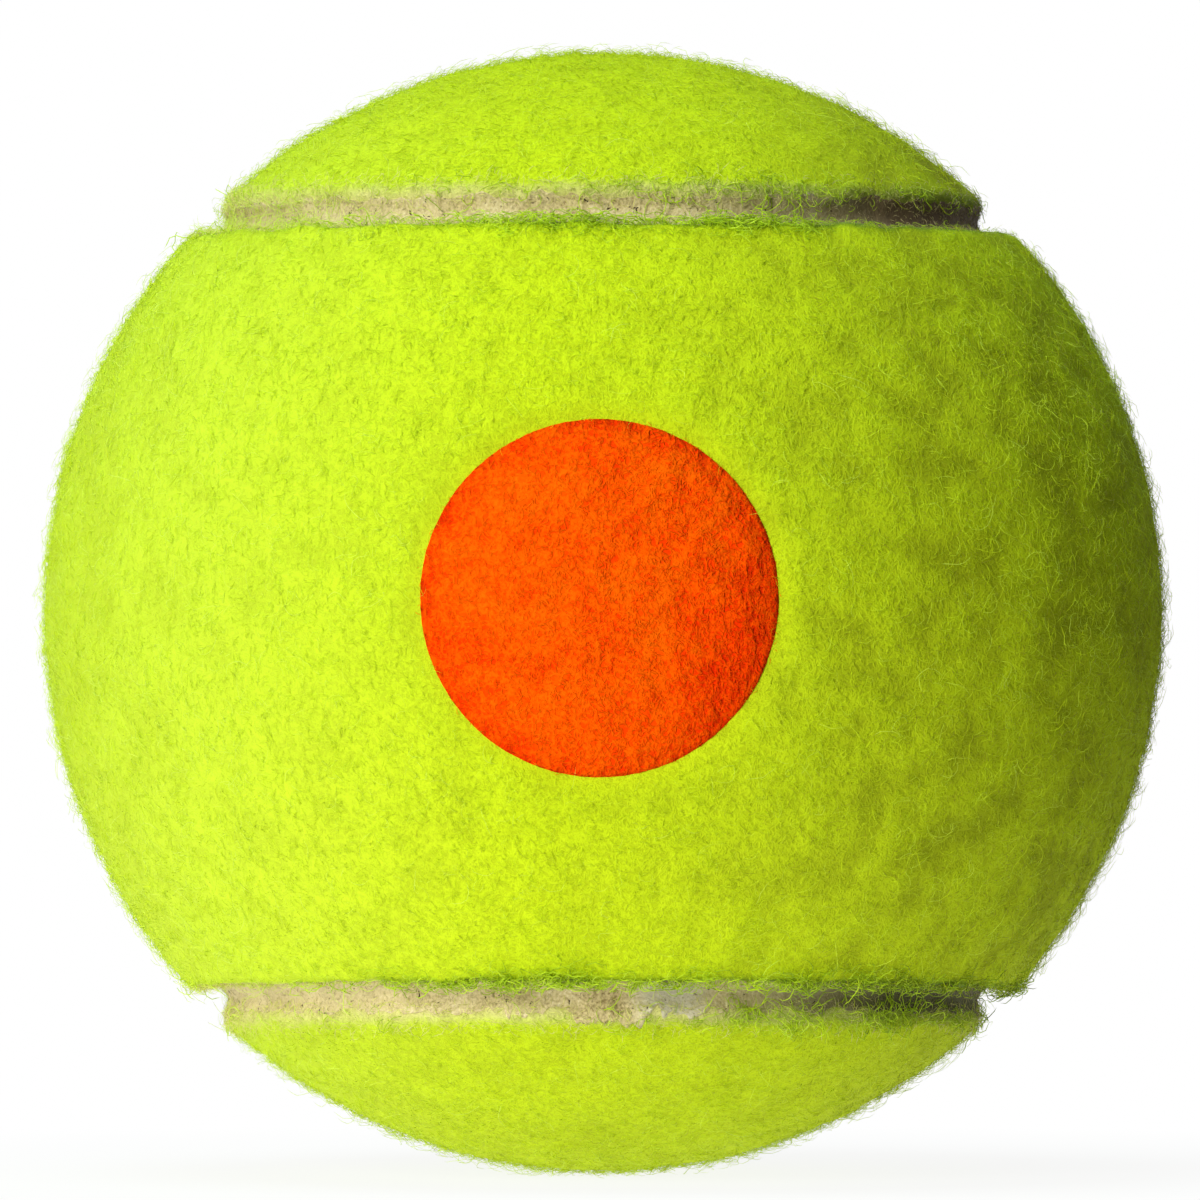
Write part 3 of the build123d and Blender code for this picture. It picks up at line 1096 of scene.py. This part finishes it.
def strip_mesh():
    """The closed strip, four half circles long."""
    steps = round(QUARTER_LENGTH / STRIP_STEP)
    rows = []
    for quarter in range(4):
        for step in range(steps):
            turn = math.pi * step / steps
            row = []
            for radius, offset in strip_section(on_strip(quarter, turn, CEMENT_R, 0)):
                point = on_strip(quarter, turn, radius, offset)
                grit = rough(point / GRIT_SIZE, 2, GRIT_FALL) * GRIT
                row.append(point + point.normalized() * grit + felt_unevenness(point))
            rows.append(row)
    bm = bmesh.new()
    sweep(bm, rows + rows[:1], closed=True)
    return swept_mesh(bm, "cement_strip", SEAM_RUBBER)


# %% Make and mark the cement strip
LINTY = (9 * MM, 19 * MM)
LOWER_LINT = 0.1
BARE_R = CEMENT_R - DIP - 0.25 * MM


def strip_marks(point):
    """Stubble grows on all that is bare, and lint has caught on the left, most in the upper groove."""
    bare = float(point.length > BARE_R)
    lint = ease(-point.x, *LINTY) * (1 - ease(point.y, *BEHIND))
    return {
        "stubble": bare,
        "lint": bare * lint * (1.0 if point.z > 0 else LOWER_LINT),
        "reach": 1.0,
    }


cement_strip = new_piece("cement_strip", strip_mesh())
write_marks(cement_strip.data, strip_marks)
print("cement strip", len(cement_strip.data.polygons), "faces")

# %% [markdown]
# The dot
#
# The print is a thin disc of inked felt that lies in the hollow the stamp has pressed. Rings of
# points from its middle to its rim make it, with fine unevenness all over. Like a cushion, it
# falls off towards its rim, where it meets the pressed felt in a clean line.

# %% Model the dot
DOT_STEP = 0.3 * MM
DOT_TOP_R = GROUND_R - 0.05 * MM
DOT_CREASE = 0.3 * MM
DOT_SHOULDER = 1.6 * MM
DOT_UNDER_R = DOT_TOP_R - DOT_CREASE - 0.2 * MM
DOT_LUMP_SIZE = 1.8 * MM
DOT_LUMP = 0.16 * MM
RIM_FLATTER = 0.85
RIM_WANDER = 0.03 * MM
RIM_WANDER_SIZE = 0.5 * MM
RIM_STEP = 0.2 * MM


def dot_point(radius, angle, turn):
    """A point round the axis that runs to the front."""
    flat = radius * math.sin(angle)
    return Vector((flat * math.cos(turn), -radius * math.cos(angle), flat * math.sin(turn)))


def dot_section():
    """Radius and angle, from the middle over the shoulder to the rim, and back underneath."""
    rings = round(DOT_ANGLE * FELT_R / DOT_STEP)
    section = []
    for ring in range(rings + 1):
        angle = DOT_ANGLE * ring / rings
        fall = DOT_CREASE * (1 - ease((DOT_ANGLE - angle) * FELT_R, 0, DOT_SHOULDER))
        section.append((DOT_TOP_R - fall, angle))
    return section + [(DOT_UNDER_R, DOT_ANGLE), (DOT_UNDER_R, 0)]


def dot_mesh():
    around = round(2 * math.pi * DOT_R / RIM_STEP)
    section = dot_section()
    rows = []
    for step in range(around + 1):
        turn = 2 * math.pi * step / around
        row = []
        for radius, angle in section:
            point = dot_point(radius, angle, turn)
            at_rim = (angle / DOT_ANGLE) ** 8
            hill = rough(point / DOT_LUMP_SIZE, 4) * DOT_LUMP
            hill *= 1 - RIM_FLATTER * at_rim
            wander = noise.noise(point / RIM_WANDER_SIZE) * RIM_WANDER * at_rim
            row.append(dot_point(radius + hill, angle + wander / FELT_R, turn))
        rows.append(row)
    bm = bmesh.new()
    sweep(bm, rows, closed=False)
    return swept_mesh(bm, "dot_ink", PRINTED_INK)


# %% Make and mark the dot
DOT_WORN_AND_SHADED = (3 * MM, 11 * MM)
WORN_SLANT = 0.3
RIM_REACH = 2 * MM
INKED_R = DOT_UNDER_R + 0.08 * MM


def dot_marks(point):
    """More fibres stand up on the print's worn right, and its right and rim are painted darker, as
    painted shade.
    """
    rim = 1 - ease(-from_dot(point), 0, RIM_REACH)
    worn_and_shaded = ease(point.x - WORN_SLANT * point.z, *DOT_WORN_AND_SHADED)
    top = float(point.length > INKED_R)
    return {
        "inked": top * (0.55 + 0.45 * worn_and_shaded),
        # painted shade on the right and the rim
        "worn_and_shaded": max(0.9 * worn_and_shaded, 0.6 * rim),
        "reach": 1.0 - 0.2 * rim,
    }


dot_ink = new_piece("dot_ink", dot_mesh())
write_marks(dot_ink.data, dot_marks)
print("dot", len(dot_ink.data.polygons), "faces")

# %% [markdown]
# Growing the nap
#
# The nap is grown in layers: a dense mat, waves and loose curls on top of it, thin fuzz that stands
# off the outline, and a fringe that hangs over the groove. Fine wisps show up on the right of the
# front, where painted shade darkens the felt. Along the groove grow fibres that are soaked with
# cement, stubble covers the cement itself, and pale lint has caught in it on the left. The dot gets
# its own short, inked nap. The mat of each panel is grown in two meshes.


# %% Grow all layers
def felt_layers(felt, side, fringe_per_mm2):
    """The nap of one panel, from the mat outwards."""
    for number, seed in ((1, 100), (2, 101)):
        yield grow(f"mat_{side}_{number}", felt, "matted", FELT_FIBRE, "nap", 3.0, (0.7, 1.25), seed,
                   stray=ALONG_MAT)
    yield grow(f"waves_{side}", felt, "wavy", FELT_FIBRE, "nap", 1.8, (0.6, 1.3), 150)
    # curls and fuzz take the painted light of the fine fibres: paler on the lit left
    yield grow(f"curls_{side}", felt, "loose", FELT_FIBRE, "tuft", 1.2, (0.5, 1.1), 200, 0.12, "painted_light_tone_fine")
    yield grow(f"fuzz_{side}", felt, "fuzz", FELT_FIBRE, "haze", 0.9, (0.4, 0.9), 300, 0.15, "painted_light_tone_fine")
    yield grow(f"fringe_{side}", felt, "fringe", EDGE_FIBRE, "fringe", fringe_per_mm2, (0.45, 1.35),
               400, 0.08)


nap = [
    *felt_layers(felt_front, "front", 40.0),
    *felt_layers(felt_rear, "rear", 20.0),
    grow("wisps_front", felt_front, "wisps", FELT_FIBRE, "wisps", 2.6, (0.5, 1.2), 350, 0.1, "painted_light_tone_fine"),
]
for felt, side in ((felt_front, "front"), (felt_rear, "rear")):
    nap.append(grow(f"soaked_{side}", felt, "wavy", SOAKED_FIBRE, "soaked", 26.0, (0.45, 1.05), 450, 0.2))
stubble = grow("cement_stubble", cement_strip, "matted", SOAKED_FIBRE, "stubble", 9.5, (0.4, 0.9),
               480, -0.12)
lint = grow("cement_lint", cement_strip, "loose", FELT_FIBRE, "lint", 9.0, (0.55, 1.0), 490, 0.45)
dot_nap = grow("dot_nap", dot_ink, "pressed", INK_FIBRE, "inked", 16.0, (0.7, 1.2), 500,
               stray=ALONG_DOT)

for sort in CURLS.values():
    for curl in list(sort.objects):
        bpy.data.objects.remove(curl)
    bpy.data.collections.remove(sort)

# %% [markdown]
# Joining the pieces to the solid model
#
# Each piece rides on the ball's one body. The meshes made here stand for the solid pieces that
# they replace, which are hidden. A felt panel is a sheet that was cut flat and stretched over the
# core.

# %% Ride and replace
for piece, node_name, slot in (
    (felt_front, "felt_panel_front", "felt"),
    (felt_rear, "felt_panel_rear", "felt"),
    (cement_strip, "seam_cement", "seam_cement"),
    (dot_ink, "orange_dot_print", "inked_felt"),
):
    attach(piece, "root")
    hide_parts(node_name)
for piece in nap:
    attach(piece, "root")
for piece, slot in ((stubble, "seam_cement"), (lint, "felt"), (dot_nap, "inked_felt")):
    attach(piece, "root")

# %% [markdown]
# Studio
#
# The ball sits on a pale floor before a white background. The camera sees both as plain white.
# Light that bounces meets other values, so the background does not flood the ball: near the ball
# the floor works as a light table, bright on the left and dim on the right, and further away it
# gives no light. A tall soft lamp on the left of the camera lights the front, a small one high on
# the left lights the top, and the sky fills the shade a little.

# %% Floor material
SHADE_REACH = 0.08
GLOW_SIDE = (-0.99, -0.15, 0)
GLOW_BRIGHT = 1.8
GLOW_DIM = 0.26
GLOW_REACH = 0.11
GLOW_NEAR = 0.06
GLOW_FAR = 0.2


def seen_directly(tree):
    """1 for rays that show the background: straight, mirrored or through glass."""
    path = add(tree, "ShaderNodeLightPath", {}).outputs
    some = add(tree, "ShaderNodeMath", {
        0: path["Is Camera Ray"], 1: path["Is Glossy Ray"]}, operation="MAXIMUM")
    return add(tree, "ShaderNodeMath", {
        0: some.outputs[0], 1: path["Is Transmission Ray"]}, operation="MAXIMUM").outputs[0]


def floor_material():
    made, tree, shader, place = new_material("pale_studio_floor")
    fill(tree, shader, {"Base Color": linear("#f4f4f2"), "Roughness": 0.9})
    away = add(tree, "ShaderNodeVectorMath", {0: place}, operation="LENGTH").outputs["Value"]
    fade = add(tree, "ShaderNodeMapRange", {
        "Value": away, "From Max": SHADE_REACH, "To Min": 0.85, "To Max": 1.0})
    leftward = add(tree, "ShaderNodeVectorMath", {0: place, 1: GLOW_SIDE}, operation="DOT_PRODUCT")
    glow = add(tree, "ShaderNodeMapRange", {
        "Value": leftward.outputs["Value"], "From Min": -GLOW_REACH, "From Max": GLOW_REACH,
        "To Min": GLOW_DIM, "To Max": GLOW_BRIGHT})
    close = add(tree, "ShaderNodeMapRange", {
        "Value": away, "From Min": GLOW_NEAR, "From Max": GLOW_FAR, "To Min": 1.0, "To Max": 0.0},
        interpolation_type="SMOOTHSTEP")
    pool = add(tree, "ShaderNodeMath", {
        0: glow.outputs["Result"], 1: close.outputs["Result"]}, operation="MULTIPLY")
    seen = seen_directly(tree)
    share = add(tree, "ShaderNodeMix", {"Factor": seen, "A": 1.0, "B": fade.outputs["Result"]})
    level = add(tree, "ShaderNodeMix", {"Factor": seen, "A": pool.outputs[0], "B": 1.0})
    white = add(tree, "ShaderNodeEmission", {
        "Color": linear("#ffffff"), "Strength": level.outputs["Result"]})
    mixed = add(tree, "ShaderNodeMixShader", {
        0: share.outputs["Result"], 1: shader.outputs[0], 2: white.outputs[0]})
    output = next(node for node in tree.nodes if node.type == "OUTPUT_MATERIAL")
    fill(tree, output, {"Surface": mixed.outputs[0]})
    return made


# %% Floor and sky
FLOOR_SIZE = 4.0
SKY_LIGHT = 0.035


def studio_floor():
    bm = bmesh.new()
    bmesh.ops.create_grid(bm, x_segments=8, y_segments=8, size=FLOOR_SIZE / 2)
    mesh = bpy.data.meshes.new("floor")
    bm.to_mesh(mesh)
    bm.free()
    mesh.materials.append(floor_material())
    made = new_piece("floor", mesh)
    made.location.z = -FELT_R
    return made


floor = studio_floor()
world = bpy.data.worlds.new("studio_sky")
world.use_nodes = True
scene.world = world
sky = world.node_tree
sky.nodes.clear()
strength = add(sky, "ShaderNodeMapRange", {
    "Value": seen_directly(sky), "To Min": SKY_LIGHT, "To Max": 1.0})
backdrop = add(sky, "ShaderNodeBackground", {
    "Color": linear("#ffffff"), "Strength": strength.outputs["Result"]})
add(sky, "ShaderNodeOutputWorld", {"Surface": backdrop.outputs[0]})


# %% Lamps
def towards(azimuth, elevation):
    """The way from the ball at these angles in degrees, from the camera's side towards +X and up."""
    turn, lift = math.radians(azimuth), math.radians(elevation)
    return Vector((
        math.sin(turn) * math.cos(lift), -math.cos(turn) * math.cos(lift), math.sin(lift)))


def soft_lamp(name, way, distance, width, height, watts, colour):
    """A rectangular lamp that faces the ball."""
    lamp = bpy.data.lights.new(name, "AREA")
    lamp.shape = "RECTANGLE"
    lamp.size = width
    lamp.size_y = height
    lamp.energy = watts
    lamp.color = linear(colour)[:3]
    made = bpy.data.objects.new(name, lamp)
    scene.collection.objects.link(made)
    made.location = way * distance
    made.rotation_euler = (-way).to_track_quat("-Z", "Y").to_euler()
    print(name, watts, "W")


LAMP_DISTANCE = 0.8
soft_lamp("key_lamp", towards(-28, 2), LAMP_DISTANCE, 0.25, 0.9, 11.0, "#ffffff")
soft_lamp("high_lamp", towards(-48, 75), LAMP_DISTANCE, 0.4, 0.4, 4.0, "#e6ffff")

# %% [markdown]
# Camera
#
# The ball nearly fills the photograph and shows almost no perspective, so the lens is long. The
# camera stands slightly below the ball's middle, and its aim is set off a little, because the
# ball is not quite in the middle of the picture.

# %% Place the camera
CAMERA_DISTANCE = 0.495
CAMERA_AZIMUTH = 0.45
CAMERA_ELEVATION = -1.5
LENS = 252.7
SENSOR = 36.0
NEAREST_SEEN = 0.01
AIM_LEFT = 0.20 * MM
AIM_UP = 0.70 * MM

camera = bpy.data.objects.new("camera", bpy.data.cameras.new("camera"))
scene.collection.objects.link(camera)
scene.camera = camera
camera.data.lens = LENS
camera.data.sensor_width = SENSOR
camera.data.clip_start = NEAREST_SEEN
back = towards(CAMERA_AZIMUTH, CAMERA_ELEVATION)
turn = (-back).to_track_quat("-Z", "Y")
aim = turn @ Vector((-AIM_LEFT, AIM_UP, 0))
camera.location = aim + back * CAMERA_DISTANCE
camera.rotation_euler = turn.to_euler()
scene.view_settings.view_transform = "Standard"
print("camera at", [round(part, 3) for part in camera.location], "m")
